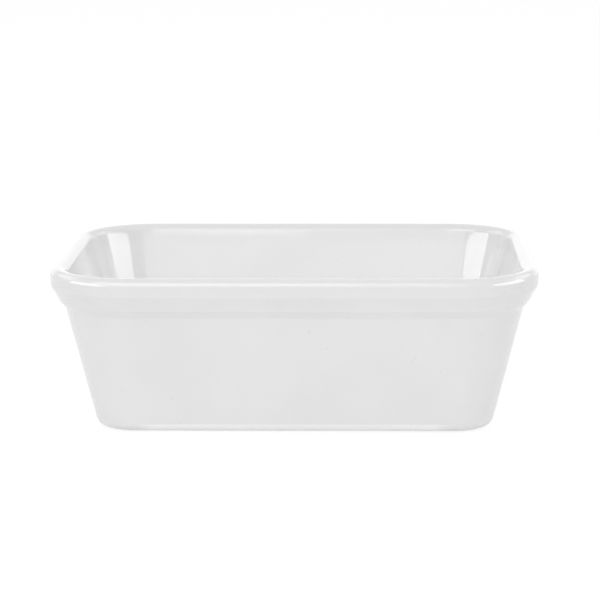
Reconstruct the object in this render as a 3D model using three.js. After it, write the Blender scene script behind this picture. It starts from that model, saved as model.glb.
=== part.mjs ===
// Rectangular gratin dish: one fired clay body under a fired-on glaze.
// Millimetres, +Z up, +X along the long side. The origin lies on the table, under the middle of the dish.
// Every level of the dish is a rounded rectangle drawn in from the rim's outermost line by an inset,
// so the whole shape is one profile of insets and heights, carried round the dish.
import * as THREE from "three";

// Overall size, over the glaze
const LENGTH = 160;
const WIDTH = 120;
const HEIGHT = 53.4;
const RIM_CORNER_RADIUS = 28; // in plan, at the rim's outermost line
const TIGHTEST_CORNER = 2; // no level's corner is sharper than this in plan

// Glaze
const GLAZE = 0.4; // thickness
const BARE_STRIP = 0.6; // clay left bare on each side of the foot

// Rolled lip
const LIP_THICKNESS = 4.6; // across the clay, at the top
const LIP_DEPTH = 5.8; // from the top down to the lip's lower edge
const LIP_OUTER_RADIUS = 2.3;
const LIP_INNER_RADIUS = 2.9;
const LIP_LOWER_RADIUS = 2.2;

// Collar under the lip: a cove, then a low ledge that overhangs the wall
const COVE_INSET = 1.8; // how far the cove is set in from the lip
const COVE_DEPTH = 3; // below the lip's lower edge
const COVE_RADIUS = 2.4;
const LEDGE_INSET = 0.85; // how far the ledge is set in from the cove
const LEDGE_DEPTH = 1.8; // below the cove
const LEDGE_RADIUS = 0.9;
const UNDERCUT_INSET = 2.1; // how far the wall's top is set in from the ledge
const UNDERCUT_DEPTH = 2.4; // below the ledge
const UNDERCUT_RADIUS = 1.6;

// Walls and floor
const OUTER_DRAFT = 14.2; // degrees from upright
const INNER_DRAFT = 17;
const FLOOR_THICKNESS = 4.6; // of the clay, inside the foot
const FLOOR_FILLET = 9; // where the floor turns up into the walls

// Foot
const BASE_EDGE_RADIUS = 3.1; // where the wall turns under
const FOOT_SETBACK = 1.2; // from the end of that turn to the foot
const FOOT_HEIGHT = 0.7; // of the ring that the dish stands on
const FOOT_WIDTH = 4.5;
const FOOT_EDGE_RADIUS = 0.4;
const RECESS = 1.5; // height of the underside inside the ring
const RECESS_FILLET = 0.8;

// Smoothness of the round stretches
const PROFILE_STEP = THREE.MathUtils.degToRad(18);
const CORNER_STEPS = 8;

// The profile's corner points, as insets and heights, each with the radius that rounds it.
function clayCorners() {
  const outerSlope = Math.tan(THREE.MathUtils.degToRad(OUTER_DRAFT));
  const innerSlope = Math.tan(THREE.MathUtils.degToRad(INNER_DRAFT));
  const corner = (inset, height, radius) => ({ at: new THREE.Vector2(inset, height), radius });

  const lipOuter = corner(GLAZE, HEIGHT - GLAZE, LIP_OUTER_RADIUS);
  const lipInner = corner(lipOuter.at.x + LIP_THICKNESS, lipOuter.at.y, LIP_INNER_RADIUS);
  const lipLower = corner(lipOuter.at.x, HEIGHT - LIP_DEPTH, LIP_LOWER_RADIUS);
  const cove = corner(lipLower.at.x + COVE_INSET, lipLower.at.y - COVE_DEPTH, COVE_RADIUS);
  const ledge = corner(cove.at.x + LEDGE_INSET, cove.at.y - LEDGE_DEPTH, LEDGE_RADIUS);
  const wallTop = corner(ledge.at.x + UNDERCUT_INSET, ledge.at.y - UNDERCUT_DEPTH, UNDERCUT_RADIUS);
  const baseInset = wallTop.at.x + (wallTop.at.y - FOOT_HEIGHT) * outerSlope;
  const baseEdge = corner(baseInset, FOOT_HEIGHT, BASE_EDGE_RADIUS);

  const baseTurn = BASE_EDGE_RADIUS * Math.tan(THREE.MathUtils.degToRad(90 - OUTER_DRAFT) / 2);
  const footRoot = corner(baseInset + baseTurn + FOOT_SETBACK, FOOT_HEIGHT, 0);
  const glazeEdge = corner(footRoot.at.x - BARE_STRIP, FOOT_HEIGHT, 0);
  const footOuter = corner(footRoot.at.x, 0, FOOT_EDGE_RADIUS);
  const footInner = corner(footRoot.at.x + FOOT_WIDTH, 0, FOOT_EDGE_RADIUS);
  const recessEdge = corner(footInner.at.x, RECESS, RECESS_FILLET);
  const baseGlazeEdge = corner(recessEdge.at.x + RECESS_FILLET + BARE_STRIP, RECESS, 0);

  const floorHeight = RECESS + FLOOR_THICKNESS;
  const floorInset = lipInner.at.x + (lipInner.at.y - floorHeight) * innerSlope;
  const floorEdge = corner(floorInset, floorHeight, FLOOR_FILLET);
  const floorFlat = corner(floorInset + FLOOR_FILLET, floorHeight, 0);

  return {
    bare: [baseGlazeEdge, recessEdge, footInner, footOuter, footRoot, glazeEdge],
    glazed: [glazeEdge, baseEdge, wallTop, ledge, cove, lipLower, lipOuter, lipInner, floorEdge, floorFlat],
  };
}

// Points along straight legs, with every corner that has a radius turned into an arc.
function filleted(corners) {
  return corners.flatMap(({ at, radius }, i) => {
    if (!radius) return [at];
    const toPrevious = corners[i - 1].at.clone().sub(at).normalize();
    const toNext = corners[i + 1].at.clone().sub(at).normalize();
    const halfAngle = Math.acos(toPrevious.dot(toNext)) / 2;
    const inwards = toPrevious.clone().add(toNext).normalize();
    const centre = at.clone().addScaledVector(inwards, radius / Math.sin(halfAngle));
    const reach = radius / Math.tan(halfAngle);
    const from = at.clone().addScaledVector(toPrevious, reach).sub(centre).angle();
    const to = at.clone().addScaledVector(toNext, reach).sub(centre).angle();
    const turnsLeft = toPrevious.cross(toNext) < 0;
    const arc = new THREE.ArcCurve(centre.x, centre.y, radius, from, to, !turnsLeft);
    return arc.getPoints(Math.ceil((Math.PI - 2 * halfAngle) / PROFILE_STEP));
  });
}

// Moves a polyline sideways, to its left, by the same distance all along.
function offset(points, distance) {
  const normals = points.slice(1).map((point, i) => {
    const along = point.clone().sub(points[i]).normalize();
    return new THREE.Vector2(-along.y, along.x);
  });
  return points.map((point, i) => {
    const before = normals[Math.max(i - 1, 0)];
    const after = normals[Math.min(i, normals.length - 1)];
    const mitre = before.clone().add(after).divideScalar(1 + before.dot(after));
    return point.clone().addScaledVector(mitre, distance);
  });
}

// One level of the dish: a rounded rectangle, anticlockwise seen from above.
function level({ x: inset, y: height }) {
  const radius = Math.max(RIM_CORNER_RADIUS - inset, TIGHTEST_CORNER);
  const centreX = LENGTH / 2 - inset - radius;
  const centreY = WIDTH / 2 - inset - radius;
  const quarters = [[1, 1], [-1, 1], [-1, -1], [1, -1]];
  return quarters.flatMap(([sideX, sideY], quarter) =>
    Array.from({ length: CORNER_STEPS + 1 }, (_, step) => {
      const angle = (quarter + step / CORNER_STEPS) * (Math.PI / 2);
      const x = sideX * centreX + radius * Math.cos(angle);
      const y = sideY * centreY + radius * Math.sin(angle);
      return new THREE.Vector3(x, y, height);
    }),
  );
}

// A closed solid through levels in order, with the first and the last one capped flat.
function loft(profile) {
  const levels = profile.map(level);
  const count = levels[0].length;
  const vertices = levels.flat();
  const firstCentre = vertices.push(new THREE.Vector3(0, 0, profile[0].y)) - 1;
  const lastCentre = vertices.push(new THREE.Vector3(0, 0, profile.at(-1).y)) - 1;
  const top = (levels.length - 1) * count;
  const index = [];
  for (let j = 0; j < count; j++) {
    const next = (j + 1) % count;
    index.push(firstCentre, next, j);
    index.push(lastCentre, top + j, top + next);
    for (let row = 0; row < top; row += count) {
      index.push(row + j, row + next, row + count + next);
      index.push(row + j, row + count + next, row + count + j);
    }
  }
  return new THREE.BufferGeometry().setFromPoints(vertices).setIndex(index);
}

function part(name, geometry, material) {
  geometry.computeVertexNormals();
  const mesh = new THREE.Mesh(geometry, material);
  mesh.name = name;
  return mesh;
}

const bareClay = new THREE.MeshStandardMaterial({ color: "#ded9d0", roughness: 0.75, metalness: 0 });
const whiteGlaze = new THREE.MeshStandardMaterial({ color: "#eeeeed", roughness: 0.12, metalness: 0 });
const undersideGlaze = whiteGlaze.clone();

const corners = clayCorners();
const bare = filleted(corners.bare);
const glazed = filleted(corners.glazed);

// Pressed and fired in one piece: foot, floor, walls, collar and lip.
const clayBody = part("clay_body", loft([...bare, ...glazed.slice(1)]), bareClay);

// One coat over the floor, the lip and the outside, down to the bare foot.
const glazeCoat = part("glaze_coat", loft([...glazed.toReversed(), ...offset(glazed, GLAZE)]), whiteGlaze);

// The same glaze on the underside, cut off from the coat by the bare foot.
const baseGlazeTop = bare[0];
const baseGlazeUnder = new THREE.Vector2(baseGlazeTop.x, baseGlazeTop.y - GLAZE);
const baseGlaze = part("base_glaze", loft([baseGlazeUnder, baseGlazeTop]), undersideGlaze);

const dish = new THREE.Group();
dish.name = "gratin_dish";
dish.add(clayBody, glazeCoat, baseGlaze);

export default dish;
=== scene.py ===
"""A rectangular gratin dish in white glazed ceramic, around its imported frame, in a small studio."""

import math
from typing import NamedTuple

import bmesh
import bpy
from mathutils import Matrix, Vector


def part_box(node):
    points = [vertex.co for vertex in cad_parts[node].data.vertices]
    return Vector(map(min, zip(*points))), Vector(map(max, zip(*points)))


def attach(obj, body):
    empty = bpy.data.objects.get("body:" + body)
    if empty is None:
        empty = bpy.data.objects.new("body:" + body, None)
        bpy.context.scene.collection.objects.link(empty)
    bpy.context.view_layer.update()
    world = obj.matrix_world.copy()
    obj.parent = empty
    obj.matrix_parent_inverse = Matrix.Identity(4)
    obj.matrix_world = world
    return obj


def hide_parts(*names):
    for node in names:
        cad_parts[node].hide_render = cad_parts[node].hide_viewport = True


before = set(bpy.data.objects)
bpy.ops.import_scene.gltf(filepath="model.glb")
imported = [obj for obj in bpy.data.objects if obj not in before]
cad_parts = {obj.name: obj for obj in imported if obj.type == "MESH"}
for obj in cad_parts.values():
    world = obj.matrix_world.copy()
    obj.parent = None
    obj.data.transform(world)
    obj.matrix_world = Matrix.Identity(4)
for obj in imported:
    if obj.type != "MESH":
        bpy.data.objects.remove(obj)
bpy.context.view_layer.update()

bl_info = {
    "name": "Gratin dish",
    "version": (1, 0, 0),
    "blender": (4, 5, 0),
    "location": "3D View > Sidebar > Gratin dish",
    "description": "Models a glazed ceramic gratin dish and the studio that it stands in",
    "category": "Object",
}

MM = 0.001

# Fineness of the modelling
TOUCH = 0.002 * MM
LEG_STEP = 4 * MM
RUN_STEP = 4 * MM
TURN_STEP = math.radians(5)
CORNER_STEPS = 20
SMOOTH_ANGLE = math.radians(40)
SEED_SIZE = 1 * MM

# Surface of the glaze and of the bare clay
DRIFT_NOISE_LOW = 0.32
DRIFT_NOISE_HIGH = 0.68
GLAZE_ROUGHNESS = (0.07, 0.12)
GLAZE_BUMP = 0.05 * MM
GLAZE_BUMP_STRENGTH = 0.5
GLAZE_IOR = 1.52
CLAY_ROUGHNESS = (0.7, 0.9)
CLAY_BUMP = 0.15 * MM
CLAY_BUMP_STRENGTH = 0.6

# Studio
SENSOR_WIDTH = 36.0
DISH_MIDDLE = (0.0, 0.0, 0.03)
STRIP_TARGET = (0.0, 0.0, 0.31)
PANEL_TARGET = (0.0, 0.0, 0.25)

# The frame's own sizes
coat_low, coat_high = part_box("glaze_coat")
clay_low, clay_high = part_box("clay_body")


# Properties


def distance(name, description, default):
    return bpy.props.FloatProperty(
        name=name,
        description=description,
        default=default,
        min=0.0,
        precision=5,
        unit="LENGTH",
        subtype="DISTANCE",
    )


def angle(name, description, degrees):
    return bpy.props.FloatProperty(
        name=name,
        description=description,
        default=math.radians(degrees),
        unit="ROTATION",
        subtype="ANGLE",
    )


def amount(name, description, default):
    return bpy.props.FloatProperty(
        name=name, description=description, default=default, min=0.0
    )


def colour(name, description, default):
    return bpy.props.FloatVectorProperty(
        name=name,
        description=description,
        default=default,
        size=3,
        min=0.0,
        max=1.0,
        subtype="COLOR",
    )


def place(name, description, default):
    return bpy.props.FloatVectorProperty(
        name=name,
        description=description,
        default=default,
        size=3,
        unit="LENGTH",
        subtype="TRANSLATION",
    )


class GratinDishSizes(bpy.types.PropertyGroup):
    """Sizes of the dish: the whole over its glaze, and the clay under it"""

    long_side: distance(
        "Long side", "Length over the lip", coat_high.x - coat_low.x
    )
    short_side: distance(
        "Short side", "Width over the lip", coat_high.y - coat_low.y
    )
    height: distance("Height", "From the table to the top of the lip", coat_high.z)
    rim_corner_radius: distance(
        "Rim corner", "Corner radius in plan, round the lip", 28 * MM
    )

    glaze: distance("Glaze", "Thickness of the glaze", coat_high.z - clay_high.z)
    glaze_edge_radius: distance(
        "Glaze edge", "Rounding where the glaze stops", 0.25 * MM
    )
    bare_strip: distance(
        "Bare strip", "Clay left bare on each side of the foot", 0.6 * MM
    )

    lip_thickness: distance("Lip", "Thickness of the clay at the top", 4.6 * MM)
    lip_depth: distance("Lip depth", "From the top to the lip's lower edge", 5.8 * MM)
    lip_outer_radius: distance("Lip outside", "Rounding outside the lip", 2.3 * MM)
    lip_inner_radius: distance("Lip inside", "Rounding inside the lip", 2.9 * MM)
    lip_lower_radius: distance("Lip below", "Rounding under the lip", 2.2 * MM)

    cove_inset: distance("Cove inset", "Cove, set in from the lip", 1.8 * MM)
    cove_depth: distance("Cove depth", "Cove, below the lip's lower edge", 3 * MM)
    cove_radius: distance("Cove radius", "Rounding of the cove", 2.4 * MM)
    ledge_inset: distance("Ledge inset", "Ledge, set in from the cove", 0.85 * MM)
    ledge_depth: distance("Ledge depth", "Ledge, below the cove", 1.8 * MM)
    ledge_radius: distance("Ledge radius", "Rounding of the ledge", 0.9 * MM)
    undercut_inset: distance(
        "Undercut inset", "Top of the wall, set in from the ledge", 2.1 * MM
    )
    undercut_depth: distance(
        "Undercut depth", "Top of the wall, below the ledge", 2.4 * MM
    )
    undercut_radius: distance(
        "Undercut radius", "Rounding at the top of the wall", 1.6 * MM
    )

    outer_draft: angle("Outer draft", "Slope of the outside, from upright", 14.2)
    inner_draft: angle("Inner draft", "Slope of the inside, from upright", 17)
    floor_thickness: distance("Floor", "Clay under the well", 4.6 * MM)
    floor_fillet: distance(
        "Floor fillet", "Where the floor turns up into the walls", 9 * MM
    )

    base_edge_radius: distance("Base edge", "Where the wall turns under", 3.1 * MM)
    foot_setback: distance(
        "Foot setback", "From the end of that turn to the foot", 1.2 * MM
    )
    foot_height: distance("Foot height", "How far the foot stands down", 0.7 * MM)
    foot_width: distance("Foot width", "Width of the foot ring", 4.5 * MM)
    foot_edge_radius: distance("Foot edge", "Rounding of the foot ring", 0.4 * MM)
    recess: distance("Recess", "Height of the underside inside the foot", 1.5 * MM)
    recess_fillet: distance("Recess fillet", "Rounding inside the foot", 0.8 * MM)

    unevenness: distance("Unevenness", "Deepest dip of the fired surface", 0.12 * MM)
    unevenness_span: distance("Dip span", "Width of those dips", 22 * MM)


class GratinDishFinish(bpy.types.PropertyGroup):
    """Colours and textures of the glaze and the bare clay"""

    glaze_full: colour("Full glaze", "Where the glaze lies thick", (0.85, 0.85, 0.85))
    glaze_thin: colour("Thin glaze", "Where the clay shows through", (0.82, 0.82, 0.82))
    glaze_patch: distance("Glaze patch", "Width of the drifts in tone", 30 * MM)
    # Painted shade: the lip and the tops of the walls just under it are coloured darker than the rest of
    # the glaze, fading out downwards.
    lip_painted_shade: colour("Lip glaze", "Where the glaze ran off the lip", (0.81, 0.81, 0.81))
    lip_shade_depth: distance("Lip glaze depth", "How far down from the top it is thin", 3.9 * MM)
    lip_shade_fade: distance("Lip glaze fade", "Below that, where it thickens", 3.5 * MM)
    # Painted light: a whiter band low on the straight sides, standing in for the bright floor's light on
    # the base edge and its reflection there. It dies out in the corners.
    base_edge_painted_light: colour("Pooled glaze", "Where the glaze ran to the base edge", (0.95, 0.95, 0.95))
    base_light_height: distance("Pool height", "How far up the wall the pooled glaze reaches", 2.8 * MM)
    base_light_fade: distance("Pool fade", "Above that, where it thins", 0.6 * MM)
    base_light_end: distance("Pool end", "Where the pooled glaze dies out, in the corners", 6 * MM)
    pinhole: colour("Pinhole", "Tiny pits and specks in the glaze", (0.76, 0.76, 0.75))
    clay_pale: colour("Pale clay", "Bare fired clay", (0.73, 0.69, 0.62))
    clay_dark: colour("Dark clay", "Rubbed and sooted clay", (0.6, 0.55, 0.48))
    clay_grain: colour("Clay grain", "Coarse grains in the clay", (0.36, 0.31, 0.26))


class GratinDishStage(bpy.types.PropertyGroup):
    """Floor, lamps and camera"""

    floor_width: distance("Floor", "Width of the floor", 12.0)
    floor_colour: colour("Floor colour", "White floor", (0.96, 0.96, 0.96))
    floor_lift: amount("Floor lift", "Share of the seen floor that is plain white", 0.8)
    floor_white: amount("Floor white", "Strength of that white", 1.08)
    sky: amount("Sky", "Light from all round", 0.65)
    front_glow: amount("Front", "Brightness of the front soft box", 1.5)
    high_glow: amount("High", "Brightness of the high soft box", 0.47)
    left_glow: amount("Left", "Brightness of the left soft box", 1.2)
    right_glow: amount("Right", "Brightness of the right soft box", 1.25)
    strip_glow: amount("Strips", "Brightness of the strips that the well's corners mirror", 4.3)
    rear_glow: amount("Rear", "Brightness of the low panel that the side rims mirror", 0.36)
    rim_glow: amount("Rim", "Brightness of the panel that the front rim mirrors", 2.5)
    camera_place: place("Camera", "Where the camera stands", (0.02504, -0.7922, 0.18505))
    camera_aim: place("Aim", "Where the camera points", (0.00095, 0.0, 0.03575))
    camera_roll: angle("Roll", "Camera's turn about its own axis", -0.261)
    camera_lens: amount("Lens", "Focal length in millimetres", 141.49)


# The profile: corner points in an upright plane through a corner of the dish


class Corner(NamedTuple):
    reach: float  # out from the upright axis that the dish's corner turns round
    height: float
    radius: float = 0.0

    @property
    def place(self):
        return Vector((self.reach, self.height))


def clay_profile(sizes):
    """Corner points of the clay: its bare foot, from the middle of the underside, and the glazed rest."""
    outer_slope = math.tan(sizes.outer_draft)
    inner_slope = math.tan(sizes.inner_draft)
    rim = sizes.rim_corner_radius - sizes.glaze
    top = sizes.height - sizes.glaze
    floor_height = sizes.recess + sizes.floor_thickness

    lip_outer = Corner(rim, top, sizes.lip_outer_radius)
    lip_inner = Corner(rim - sizes.lip_thickness, top, sizes.lip_inner_radius)
    lip_lower = Corner(rim, sizes.height - sizes.lip_depth, sizes.lip_lower_radius)
    cove = Corner(
        lip_lower.reach - sizes.cove_inset,
        lip_lower.height - sizes.cove_depth,
        sizes.cove_radius,
    )
    ledge = Corner(
        cove.reach - sizes.ledge_inset,
        cove.height - sizes.ledge_depth,
        sizes.ledge_radius,
    )
    wall_top = Corner(
        ledge.reach - sizes.undercut_inset,
        ledge.height - sizes.undercut_depth,
        sizes.undercut_radius,
    )

    base_reach = wall_top.reach - (wall_top.height - sizes.foot_height) * outer_slope
    base_edge = Corner(base_reach, sizes.foot_height, sizes.base_edge_radius)
    base_turn = sizes.base_edge_radius * math.tan((math.pi / 2 - sizes.outer_draft) / 2)
    foot_root = Corner(base_reach - base_turn - sizes.foot_setback, sizes.foot_height)
    glaze_edge = Corner(foot_root.reach + sizes.bare_strip, sizes.foot_height)
    foot_outer = Corner(foot_root.reach, 0.0, sizes.foot_edge_radius)
    foot_inner = Corner(foot_root.reach - sizes.foot_width, 0.0, sizes.foot_edge_radius)
    recess_edge = Corner(foot_inner.reach, sizes.recess, sizes.recess_fillet)
    underside = Corner(0.0, sizes.recess)

    floor_reach = lip_inner.reach - (top - floor_height) * inner_slope
    floor_edge = Corner(floor_reach, floor_height, sizes.floor_fillet)
    floor = Corner(0.0, floor_height)

    bare = [underside, recess_edge, foot_inner, foot_outer, foot_root, glaze_edge]
    glazed = [
        glaze_edge,
        base_edge,
        wall_top,
        ledge,
        cove,
        lip_lower,
        lip_outer,
        lip_inner,
        floor_edge,
        floor,
    ]
    return bare, glazed


def moved_out(corners, thickness):
    """The same corners, moved out of the clay by a thickness, with their rounding kept parallel."""
    legs = [(b.place - a.place).normalized() for a, b in zip(corners, corners[1:])]
    moved = []
    for i, corner in enumerate(corners):
        before = legs[max(i - 1, 0)]
        after = legs[min(i, len(legs) - 1)]
        outward = Vector((before.y + after.y, -before.x - after.x))
        spot = corner.place + outward * (thickness / (1 + before.dot(after)))
        growth = math.copysign(thickness, before.cross(after)) if corner.radius else 0.0
        moved.append(Corner(spot.x, spot.y, corner.radius + growth))
    return moved


# Modelling with Blender's own tools


def start_mesh(spot):
    """A new object at the origin, open in edit mode, that holds one vertex at a spot."""
    bpy.ops.object.select_all(action="DESELECT")
    bpy.ops.mesh.primitive_plane_add(size=SEED_SIZE, location=spot)
    bpy.ops.object.transform_apply(location=True, rotation=True, scale=True)
    bpy.ops.object.mode_set(mode="EDIT")
    bpy.ops.mesh.select_mode(type="VERT")
    bpy.ops.mesh.select_all(action="SELECT")
    bpy.ops.mesh.merge(type="CENTER")


def extrude_line(way):
    """Extrudes the selected vertex along a straight leg, in even steps."""
    if way.length < TOUCH:
        return
    steps = max(1, round(way.length / LEG_STEP))
    for _ in range(steps):
        bpy.ops.mesh.extrude_vertices_move(
            TRANSFORM_OT_translate={"value": way / steps}
        )


def draw_profile(corners, axis):
    """Draws rounded corner points as one chain of edges, out along X from an upright axis."""

    def in_space(spot):
        return Vector((axis.x + spot.x, axis.y, spot.y))

    start_mesh(in_space(corners[0].place))
    pen = corners[0].place
    for i, corner in enumerate(corners[1:], 1):
        if not corner.radius:
            extrude_line(in_space(corner.place) - in_space(pen))
            pen = corner.place
            continue
        arriving = (corner.place - corners[i - 1].place).normalized()
        leaving = (corners[i + 1].place - corner.place).normalized()
        turn = math.atan2(arriving.cross(leaving), arriving.dot(leaving))
        reach = corner.radius * math.tan(abs(turn) / 2)
        arc_start = corner.place - arriving * reach
        to_centre = Vector((-arriving.y, arriving.x)) * math.copysign(corner.radius, turn)
        extrude_line(in_space(arc_start) - in_space(pen))
        bpy.ops.mesh.spin(
            steps=math.ceil(abs(turn) / TURN_STEP),
            angle=turn,
            center=in_space(arc_start + to_centre),
            axis=(0, 1, 0),
            use_auto_merge=False,
        )
        pen = corner.place + leaving * reach


def select_edges(is_wanted):
    """Selects the edges whose two ends both lie where they are wanted."""
    bpy.ops.mesh.select_mode(type="EDGE")
    bpy.ops.mesh.select_all(action="DESELECT")
    mesh = bmesh.from_edit_mesh(bpy.context.object.data)
    for edge in mesh.edges:
        if all(is_wanted(vertex.co) for vertex in edge.verts):
            edge.select_set(True)
    bmesh.update_edit_mesh(bpy.context.object.data)


def run_out(way):
    """Extrudes the selected edges straight, in even steps."""
    steps = max(1, round(way.length / RUN_STEP))
    for _ in range(steps):
        bpy.ops.mesh.extrude_region_move(TRANSFORM_OT_translate={"value": way / steps})


def merge_touching():
    bpy.ops.mesh.select_all(action="SELECT")
    bpy.ops.mesh.remove_doubles(threshold=TOUCH)


def carry_round(sizes, corners):
    """Carries a profile round the dish: spun about a corner, run out to the middles, mirrored twice."""
    radius = sizes.rim_corner_radius
    axis = Vector((sizes.long_side / 2 - radius, sizes.short_side / 2 - radius))
    to_middle_x = Vector((-axis.x, 0, 0))
    to_middle_y = Vector((0, -axis.y, 0))

    draw_profile(corners, axis)
    bpy.ops.mesh.select_all(action="SELECT")
    bpy.ops.mesh.spin(
        steps=CORNER_STEPS,
        angle=math.pi / 2,
        center=(axis.x, axis.y, 0),
        axis=(0, 0, -1),
        use_auto_merge=False,
    )
    merge_touching()
    select_edges(lambda p: abs(p.x - axis.x) < TOUCH and p.y > axis.y - TOUCH)
    run_out(to_middle_x)
    select_edges(lambda p: abs(p.y - axis.y) < TOUCH and p.x > axis.x - TOUCH)
    run_out(to_middle_y)
    for level in (corners[0].height, corners[-1].height):
        select_edges(
            lambda p: abs(p.y - axis.y) < TOUCH
            and p.x < axis.x + TOUCH
            and abs(p.z - level) < TOUCH
        )
        run_out(to_middle_y)
    merge_touching()
    bpy.ops.object.mode_set(mode="OBJECT")

    bpy.ops.object.modifier_add(type="MIRROR")
    mirror = bpy.context.object.modifiers[-1]
    mirror.use_axis = (True, True, False)
    mirror.merge_threshold = TOUCH
    bpy.ops.object.modifier_apply(modifier=mirror.name)

    bpy.ops.object.mode_set(mode="EDIT")
    bpy.ops.mesh.select_all(action="SELECT")
    bpy.ops.mesh.normals_make_consistent(inside=False)
    bpy.ops.mesh.select_all(action="DESELECT")
    bpy.ops.mesh.select_non_manifold()
    bpy.ops.object.mode_set(mode="OBJECT")
    piece = bpy.context.object
    if piece.data.total_vert_sel:
        raise RuntimeError(f"{piece.data.total_vert_sel} points on open seams")
    return piece


def finish_piece(piece, name, node, material):
    """Names a modelled piece, smooths it and puts it in its node's place."""
    bpy.ops.object.shade_smooth_by_angle(angle=SMOOTH_ANGLE)
    piece.name = name
    piece.data.name = name
    piece.data.materials.clear()
    piece.data.materials.append(material)
    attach(piece, "root")
    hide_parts(node)


def settle_unevenly(piece, sizes):
    """Sinks the surface in wide shallow dips, as clay and glaze move in the kiln."""
    dips = bpy.data.textures.new("kiln_dips", type="CLOUDS")
    dips.noise_scale = sizes.unevenness_span
    dips.noise_depth = 1
    bpy.ops.object.modifier_add(type="DISPLACE")
    sink = piece.modifiers[-1]
    sink.texture = dips
    sink.texture_coords = "LOCAL"
    sink.mid_level = 1.0
    sink.strength = sizes.unevenness
    bpy.ops.object.modifier_apply(modifier=sink.name)


# Materials


def new_group(name, inputs, outputs):
    """An empty shader node group with named sockets, and its two end nodes."""
    group = bpy.data.node_groups.new(name, "ShaderNodeTree")
    for socket, kind in inputs:
        group.interface.new_socket(socket, in_out="INPUT", socket_type=kind)
    for socket, kind in outputs:
        group.interface.new_socket(socket, in_out="OUTPUT", socket_type=kind)
    entry = group.nodes.new("NodeGroupInput")
    exit_node = group.nodes.new("NodeGroupOutput")
    return group, entry, exit_node


def tone_drift_group():
    """Slow drifts between two colours."""
    group, entry, out = new_group(
        "tone_drift",
        [
            ("Place", "NodeSocketVector"),
            ("Patches per metre", "NodeSocketFloat"),
            ("First", "NodeSocketColor"),
            ("Second", "NodeSocketColor"),
        ],
        [("Colour", "NodeSocketColor"), ("Drift", "NodeSocketFloat")],
    )
    noise = group.nodes.new("ShaderNodeTexNoise")
    noise.inputs["Detail"].default_value = 3.0
    spread = group.nodes.new("ShaderNodeMapRange")
    spread.inputs["From Min"].default_value = DRIFT_NOISE_LOW
    spread.inputs["From Max"].default_value = DRIFT_NOISE_HIGH
    mix = group.nodes.new("ShaderNodeMix")
    mix.data_type = "RGBA"
    join = group.links.new
    join(entry.outputs["Place"], noise.inputs["Vector"])
    join(entry.outputs["Patches per metre"], noise.inputs["Scale"])
    join(noise.outputs["Fac"], spread.inputs["Value"])
    join(spread.outputs["Result"], mix.inputs["Factor"])
    join(entry.outputs["First"], mix.inputs["A"])
    join(entry.outputs["Second"], mix.inputs["B"])
    join(mix.outputs["Result"], out.inputs["Colour"])
    join(spread.outputs["Result"], out.inputs["Drift"])
    return group


def specks_group():
    """Round specks, in a share of the cells of an uneven grid."""
    group, entry, out = new_group(
        "specks",
        [
            ("Place", "NodeSocketVector"),
            ("Cells per metre", "NodeSocketFloat"),
            ("Speck size", "NodeSocketFloat"),
            ("Share", "NodeSocketFloat"),
        ],
        [("Mask", "NodeSocketFloat")],
    )
    cells = group.nodes.new("ShaderNodeTexVoronoi")
    pick = group.nodes.new("ShaderNodeSeparateColor")
    chosen = group.nodes.new("ShaderNodeMath")
    chosen.operation = "LESS_THAN"
    near = group.nodes.new("ShaderNodeMath")
    near.operation = "LESS_THAN"
    both = group.nodes.new("ShaderNodeMath")
    both.operation = "MULTIPLY"
    join = group.links.new
    join(entry.outputs["Place"], cells.inputs["Vector"])
    join(entry.outputs["Cells per metre"], cells.inputs["Scale"])
    join(cells.outputs["Color"], pick.inputs["Color"])
    join(pick.outputs["Red"], chosen.inputs[0])
    join(entry.outputs["Share"], chosen.inputs[1])
    join(cells.outputs["Distance"], near.inputs[0])
    join(entry.outputs["Speck size"], near.inputs[1])
    join(chosen.outputs["Value"], both.inputs[0])
    join(near.outputs["Value"], both.inputs[1])
    join(both.outputs["Value"], out.inputs["Mask"])
    return group


def surface_ripple_group():
    """Height of a skin: soft ripples with a finer grain on them, less its pits."""
    group, entry, out = new_group(
        "surface_ripple",
        [
            ("Place", "NodeSocketVector"),
            ("Ripples per metre", "NodeSocketFloat"),
            ("Grains per metre", "NodeSocketFloat"),
            ("Grain share", "NodeSocketFloat"),
            ("Pits", "NodeSocketFloat"),
        ],
        [("Height", "NodeSocketFloat")],
    )
    ripple = group.nodes.new("ShaderNodeTexNoise")
    ripple.inputs["Detail"].default_value = 1.0
    grain = group.nodes.new("ShaderNodeTexNoise")
    grain.inputs["Detail"].default_value = 2.0
    blend = group.nodes.new("ShaderNodeMix")
    less = group.nodes.new("ShaderNodeMath")
    less.operation = "SUBTRACT"
    join = group.links.new
    join(entry.outputs["Place"], ripple.inputs["Vector"])
    join(entry.outputs["Ripples per metre"], ripple.inputs["Scale"])
    join(entry.outputs["Place"], grain.inputs["Vector"])
    join(entry.outputs["Grains per metre"], grain.inputs["Scale"])
    join(entry.outputs["Grain share"], blend.inputs["Factor"])
    join(ripple.outputs["Fac"], blend.inputs["A"])
    join(grain.outputs["Fac"], blend.inputs["B"])
    join(blend.outputs["Result"], less.inputs[0])
    join(entry.outputs["Pits"], less.inputs[1])
    join(less.outputs["Value"], out.inputs["Height"])
    return group


def shared_group(name, make):
    """The node group of that name, made the first time that a material asks for it."""
    return bpy.data.node_groups.get(name) or make()


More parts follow.
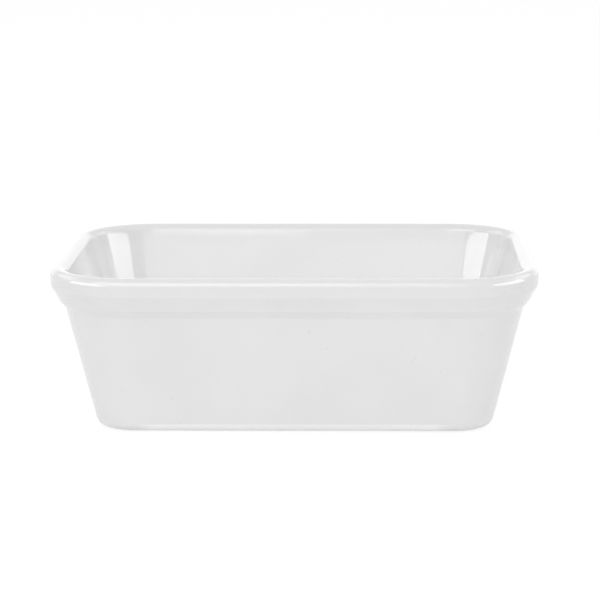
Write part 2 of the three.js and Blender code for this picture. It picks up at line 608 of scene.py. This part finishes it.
class MaterialDraft:
    """A new material with its shader, and short ways to add to it."""

    def __init__(self, name):
        self.material = bpy.data.materials.new(name)
        self.material.use_nodes = True
        self.nodes = self.material.node_tree.nodes
        self.nodes.clear()
        self.shader = self.nodes.new("ShaderNodeBsdfPrincipled")
        output = self.nodes.new("ShaderNodeOutputMaterial")
        self.join(self.shader.outputs["BSDF"], output.inputs["Surface"])
        self.place = self.nodes.new("ShaderNodeTexCoord").outputs["Object"]

    def join(self, source, target):
        self.material.node_tree.links.new(source, target)

    def add_group(self, name, make, **values):
        """Places a shared group, reads Object coordinates into it and sets its plain values."""
        node = self.nodes.new("ShaderNodeGroup")
        node.node_tree = shared_group(name, make)
        self.join(self.place, node.inputs["Place"])
        for socket, value in values.items():
            node.inputs[socket.replace("_", " ")].default_value = value
        return node

    def ramp(self, axis, none, full):
        """A mask from 0 to 1 between two distances from the origin, along an axis."""
        split = self.nodes.new("ShaderNodeSeparateXYZ")
        away = self.calculate("ABSOLUTE", split.outputs[axis])
        mask = self.nodes.new("ShaderNodeMapRange")
        mask.inputs["From Min"].default_value = none
        mask.inputs["From Max"].default_value = full
        self.join(self.place, split.inputs["Vector"])
        self.join(away, mask.inputs["Value"])
        return mask.outputs["Result"]

    def calculate(self, operation, *sources):
        node = self.nodes.new("ShaderNodeMath")
        node.operation = operation
        for source, target in zip(sources, node.inputs):
            self.join(source, target)
        return node.outputs["Value"]

    def mix_colour(self, factor, first, second):
        """A colour mix whose second colour is plain."""
        mix = self.nodes.new("ShaderNodeMix")
        mix.data_type = "RGBA"
        self.join(factor, mix.inputs["Factor"])
        self.join(first, mix.inputs["A"])
        mix.inputs["B"].default_value = (*second, 1.0)
        return mix.outputs["Result"]

    def add_bump(self, height, depth, strength):
        bump = self.nodes.new("ShaderNodeBump")
        bump.inputs["Strength"].default_value = strength
        bump.inputs["Distance"].default_value = depth
        self.join(height, bump.inputs["Height"])
        self.join(bump.outputs["Normal"], self.shader.inputs["Normal"])

    def spread_roughness(self, drift, low, high):
        spread = self.nodes.new("ShaderNodeMapRange")
        spread.inputs["To Min"].default_value = low
        spread.inputs["To Max"].default_value = high
        self.join(drift, spread.inputs["Value"])
        self.join(spread.outputs["Result"], self.shader.inputs["Roughness"])


def paint_lip_shade_and_base_light(draft, finish, sizes, coloured):
    """Paints light and shade into the glaze colour: painted shade on the lip, and painted light along the
    base edge of the straight sides.
    """
    # Painted shade: a darker colour on the lip, full from a depth under the top and fading out below it.
    lip_shade_full = sizes.height - finish.lip_shade_depth
    lip_shade_mask = draft.ramp("Z", lip_shade_full - finish.lip_shade_fade, lip_shade_full)
    coloured = draft.mix_colour(lip_shade_mask, coloured, finish.lip_painted_shade)
    # Painted light: a whiter band along the base edge of the straight sides, fading out upwards and
    # towards the corners.
    low = draft.ramp("Z", finish.base_light_height + finish.base_light_fade, finish.base_light_height)
    end_x = sizes.long_side / 2 - sizes.rim_corner_radius
    end_y = sizes.short_side / 2 - sizes.rim_corner_radius
    on_long_side = draft.ramp("X", end_x, end_x - finish.base_light_end)
    on_short_side = draft.ramp("Y", end_y, end_y - finish.base_light_end)
    on_a_side = draft.calculate("MAXIMUM", on_long_side, on_short_side)
    floor_lit = draft.calculate("MULTIPLY", low, on_a_side)
    return draft.mix_colour(floor_lit, coloured, finish.base_edge_painted_light)


def white_glaze(finish, sizes, name, with_painted_light):
    """Opaque white glaze: glossy and faintly rippled, with slow drifts in tone and pinholes."""
    draft = MaterialDraft(name)
    tone = draft.add_group(
        "tone_drift",
        tone_drift_group,
        Patches_per_metre=1 / finish.glaze_patch,
        First=(*finish.glaze_full, 1.0),
        Second=(*finish.glaze_thin, 1.0),
    )
    pinholes = draft.add_group(
        "specks", specks_group, Cells_per_metre=190.0, Speck_size=0.06, Share=0.6
    )
    skin = draft.add_group(
        "surface_ripple",
        surface_ripple_group,
        Ripples_per_metre=260.0,
        Grains_per_metre=1500.0,
        Grain_share=0.12,
    )
    draft.join(pinholes.outputs["Mask"], skin.inputs["Pits"])
    coloured = draft.mix_colour(
        pinholes.outputs["Mask"], tone.outputs["Colour"], finish.pinhole
    )
    # Paints shade on the lip and light along the base edge into the colour.
    if with_painted_light:
        coloured = paint_lip_shade_and_base_light(draft, finish, sizes, coloured)
    draft.join(coloured, draft.shader.inputs["Base Color"])
    draft.spread_roughness(tone.outputs["Drift"], *GLAZE_ROUGHNESS)
    draft.add_bump(skin.outputs["Height"], GLAZE_BUMP, GLAZE_BUMP_STRENGTH)
    draft.shader.inputs["IOR"].default_value = GLAZE_IOR
    return draft.material


def bare_clay(finish):
    """Fired clay without glaze: matt and gritty, sooted in patches."""
    draft = MaterialDraft("fired_bare_clay")
    tone = draft.add_group(
        "tone_drift",
        tone_drift_group,
        Patches_per_metre=90.0,
        First=(*finish.clay_pale, 1.0),
        Second=(*finish.clay_dark, 1.0),
    )
    grains = draft.add_group(
        "specks", specks_group, Cells_per_metre=1100.0, Speck_size=0.3, Share=0.1
    )
    skin = draft.add_group(
        "surface_ripple",
        surface_ripple_group,
        Ripples_per_metre=900.0,
        Grains_per_metre=4000.0,
        Grain_share=0.6,
    )
    draft.join(grains.outputs["Mask"], skin.inputs["Pits"])
    coloured = draft.mix_colour(
        grains.outputs["Mask"], tone.outputs["Colour"], finish.clay_grain
    )
    draft.join(coloured, draft.shader.inputs["Base Color"])
    draft.spread_roughness(tone.outputs["Drift"], *CLAY_ROUGHNESS)
    draft.add_bump(skin.outputs["Height"], CLAY_BUMP, CLAY_BUMP_STRENGTH)
    return draft.material


# Studio


def seen_ray(nodes, join):
    """1 for rays that show the background: from the camera, off gloss or through glass."""
    rays = nodes.new("ShaderNodeLightPath")
    total = rays.outputs["Is Camera Ray"]
    for kind in ("Is Glossy Ray", "Is Transmission Ray"):
        either = nodes.new("ShaderNodeMath")
        either.operation = "MAXIMUM"
        join(total, either.inputs[0])
        join(rays.outputs[kind], either.inputs[1])
        total = either.outputs["Value"]
    return total


def floor_material(stage):
    """Pale floor that keeps the shadow on it, lifted to white where it is seen."""
    material = bpy.data.materials.new("studio_floor")
    material.use_nodes = True
    nodes = material.node_tree.nodes
    join = material.node_tree.links.new
    nodes.clear()
    paper = nodes.new("ShaderNodeBsdfDiffuse")
    paper.inputs["Color"].default_value = (*stage.floor_colour, 1.0)
    white = nodes.new("ShaderNodeEmission")
    white.inputs["Strength"].default_value = stage.floor_white
    lift = nodes.new("ShaderNodeMath")
    lift.operation = "MULTIPLY"
    lift.inputs[1].default_value = stage.floor_lift
    mix = nodes.new("ShaderNodeMixShader")
    output = nodes.new("ShaderNodeOutputMaterial")
    join(seen_ray(nodes, join), lift.inputs[0])
    join(lift.outputs["Value"], mix.inputs["Fac"])
    join(paper.outputs["BSDF"], mix.inputs[1])
    join(white.outputs["Emission"], mix.inputs[2])
    join(mix.outputs["Shader"], output.inputs["Surface"])
    return material


def studio_sky(stage):
    """Even light from all round, white where it is seen."""
    world = bpy.data.worlds.new("studio_sky")
    world.use_nodes = True
    nodes = world.node_tree.nodes
    join = world.node_tree.links.new
    background = nodes["Background"]
    background.inputs["Color"].default_value = (1.0, 1.0, 1.0, 1.0)
    strength = nodes.new("ShaderNodeMapRange")
    strength.inputs["To Min"].default_value = stage.sky
    strength.inputs["To Max"].default_value = 1.0
    join(seen_ray(nodes, join), strength.inputs["Value"])
    join(strength.outputs["Result"], background.inputs["Strength"])
    return world


def aimed(spot, target, roll=0.0):
    """Rotation that points -Z from a spot at a target, level, then rolled."""
    level = (Vector(target) - Vector(spot)).to_track_quat("-Z", "Y").to_matrix()
    return (level @ Matrix.Rotation(roll, 3, "Z")).to_euler()


def add_soft_box(name, spot, width, height, glow, target):
    """A square-cornered area lamp of an even brightness, aimed at a target."""
    bpy.ops.object.light_add(
        type="AREA", location=spot, rotation=aimed(spot, target)
    )
    lamp = bpy.context.object
    lamp.name = name
    lamp.data.shape = "RECTANGLE"
    lamp.data.size = width
    lamp.data.size_y = height
    lamp.data.energy = glow * math.pi * width * height
    lamp.visible_camera = False
    return lamp


# Operators: one for each piece, and one for the stage


class GRATIN_DISH_OT_clay_body(bpy.types.Operator):
    """Models the fired clay body, of which only the foot shows"""

    bl_idname = "gratin_dish.clay_body"
    bl_label = "Clay body"
    bl_options = {"REGISTER", "UNDO"}

    def execute(self, context):
        sizes = context.scene.gratin_dish_sizes
        bare, glazed = clay_profile(sizes)
        piece = carry_round(sizes, bare + glazed[1:])
        finish_piece(
            piece,
            "clay_body_fired",
            "clay_body",
            bare_clay(context.scene.gratin_dish_finish),
        )
        return {"FINISHED"}


class GRATIN_DISH_OT_glaze_coat(bpy.types.Operator):
    """Models the coat of glaze over the well, the lip and the outside"""

    bl_idname = "gratin_dish.glaze_coat"
    bl_label = "Glaze coat"
    bl_options = {"REGISTER", "UNDO"}

    def execute(self, context):
        sizes = context.scene.gratin_dish_sizes
        _, against_clay = clay_profile(sizes)
        outside = moved_out(against_clay, sizes.glaze)
        outside[0] = outside[0]._replace(radius=sizes.glaze_edge_radius)
        piece = carry_round(sizes, against_clay[::-1] + outside)
        settle_unevenly(piece, sizes)
        finish_piece(
            piece,
            "glaze_coat_fired",
            "glaze_coat",
            white_glaze(context.scene.gratin_dish_finish, sizes, "fired_glaze_coat", True),
        )
        return {"FINISHED"}


class GRATIN_DISH_OT_base_glaze(bpy.types.Operator):
    """Models the glaze on the underside, inside the foot"""

    bl_idname = "gratin_dish.base_glaze"
    bl_label = "Base glaze"
    bl_options = {"REGISTER", "UNDO"}

    def execute(self, context):
        sizes = context.scene.gratin_dish_sizes
        bare, _ = clay_profile(sizes)
        edge = bare[1].reach - sizes.recess_fillet - sizes.bare_strip
        under = sizes.recess - sizes.glaze
        corners = [
            Corner(0.0, under),
            Corner(edge, under, sizes.glaze_edge_radius),
            Corner(edge, sizes.recess),
            Corner(0.0, sizes.recess),
        ]
        piece = carry_round(sizes, corners)
        finish_piece(
            piece,
            "base_glaze_fired",
            "base_glaze",
            white_glaze(context.scene.gratin_dish_finish, sizes, "fired_base_glaze", False),
        )
        return {"FINISHED"}


class GRATIN_DISH_OT_stage(bpy.types.Operator):
    """Sets the floor, the lamps and the camera"""

    bl_idname = "gratin_dish.stage"
    bl_label = "Stage"
    bl_options = {"REGISTER", "UNDO"}

    def execute(self, context):
        stage = context.scene.gratin_dish_stage
        bpy.ops.object.select_all(action="DESELECT")
        bpy.ops.mesh.primitive_plane_add(size=stage.floor_width)
        floor = context.object
        floor.name = "studio_floor"
        floor.data.materials.append(floor_material(stage))

        context.scene.world = studio_sky(stage)
        add_soft_box("front_box", (-0.15, -1.24, 0.64), 1.45, 0.5, stage.front_glow, DISH_MIDDLE)
        add_soft_box("high_box", (0.0, -0.8, 1.25), 1.9, 0.95, stage.high_glow, DISH_MIDDLE)
        add_soft_box("left_box", (-0.95, 0.5, 0.7), 0.9, 0.5, stage.left_glow, DISH_MIDDLE)
        add_soft_box("right_box", (0.95, 0.55, 0.7), 0.9, 0.5, stage.right_glow, DISH_MIDDLE)
        mirrored = (
            add_soft_box("left_strip", (-0.91, -0.42, 0.31), 0.93, 0.46, stage.strip_glow, STRIP_TARGET),
            add_soft_box("right_strip", (0.98, -0.17, 0.31), 0.93, 0.46, stage.strip_glow, STRIP_TARGET),
            add_soft_box("rear_panel", (0.0, 1.3, 0.25), 2.4, 0.5, stage.rear_glow, PANEL_TARGET),
            add_soft_box("rim_panel", (-0.45, -0.75, 0.9), 1.15, 0.6, stage.rim_glow, DISH_MIDDLE),
        )
        for lamp in mirrored:
            lamp.visible_diffuse = False

        bpy.ops.object.camera_add(
            location=stage.camera_place,
            rotation=aimed(stage.camera_place, stage.camera_aim, stage.camera_roll),
        )
        camera = context.object
        camera.name = "studio_camera"
        camera.data.lens = stage.camera_lens
        camera.data.sensor_width = SENSOR_WIDTH
        context.scene.camera = camera
        context.scene.view_settings.view_transform = "Standard"
        return {"FINISHED"}


class GRATIN_DISH_PT_panel(bpy.types.Panel):
    """Lists the dish's pieces, sizes and finishes"""

    bl_label = "Gratin dish"
    bl_space_type = "VIEW_3D"
    bl_region_type = "UI"
    bl_category = "Gratin dish"

    def draw(self, context):
        for operator in OPERATORS:
            self.layout.operator(operator.bl_idname)
        for group in PROPERTIES:
            box = self.layout.box()
            settings = getattr(context.scene, PROPERTIES[group])
            for name in group.__annotations__:
                box.prop(settings, name)


OPERATORS = (
    GRATIN_DISH_OT_clay_body,
    GRATIN_DISH_OT_glaze_coat,
    GRATIN_DISH_OT_base_glaze,
    GRATIN_DISH_OT_stage,
)
PROPERTIES = {
    GratinDishSizes: "gratin_dish_sizes",
    GratinDishFinish: "gratin_dish_finish",
    GratinDishStage: "gratin_dish_stage",
}


def register():
    for group, name in PROPERTIES.items():
        bpy.utils.register_class(group)
        setattr(bpy.types.Scene, name, bpy.props.PointerProperty(type=group))
    for operator in OPERATORS:
        bpy.utils.register_class(operator)
    bpy.utils.register_class(GRATIN_DISH_PT_panel)


def unregister():
    bpy.utils.unregister_class(GRATIN_DISH_PT_panel)
    for operator in reversed(OPERATORS):
        bpy.utils.unregister_class(operator)
    for group, name in PROPERTIES.items():
        delattr(bpy.types.Scene, name)
        bpy.utils.unregister_class(group)


def main():
    register()
    bpy.ops.gratin_dish.stage()
    bpy.ops.gratin_dish.clay_body()
    bpy.ops.gratin_dish.glaze_coat()
    bpy.ops.gratin_dish.base_glaze()


if __name__ == "__main__":
    main()
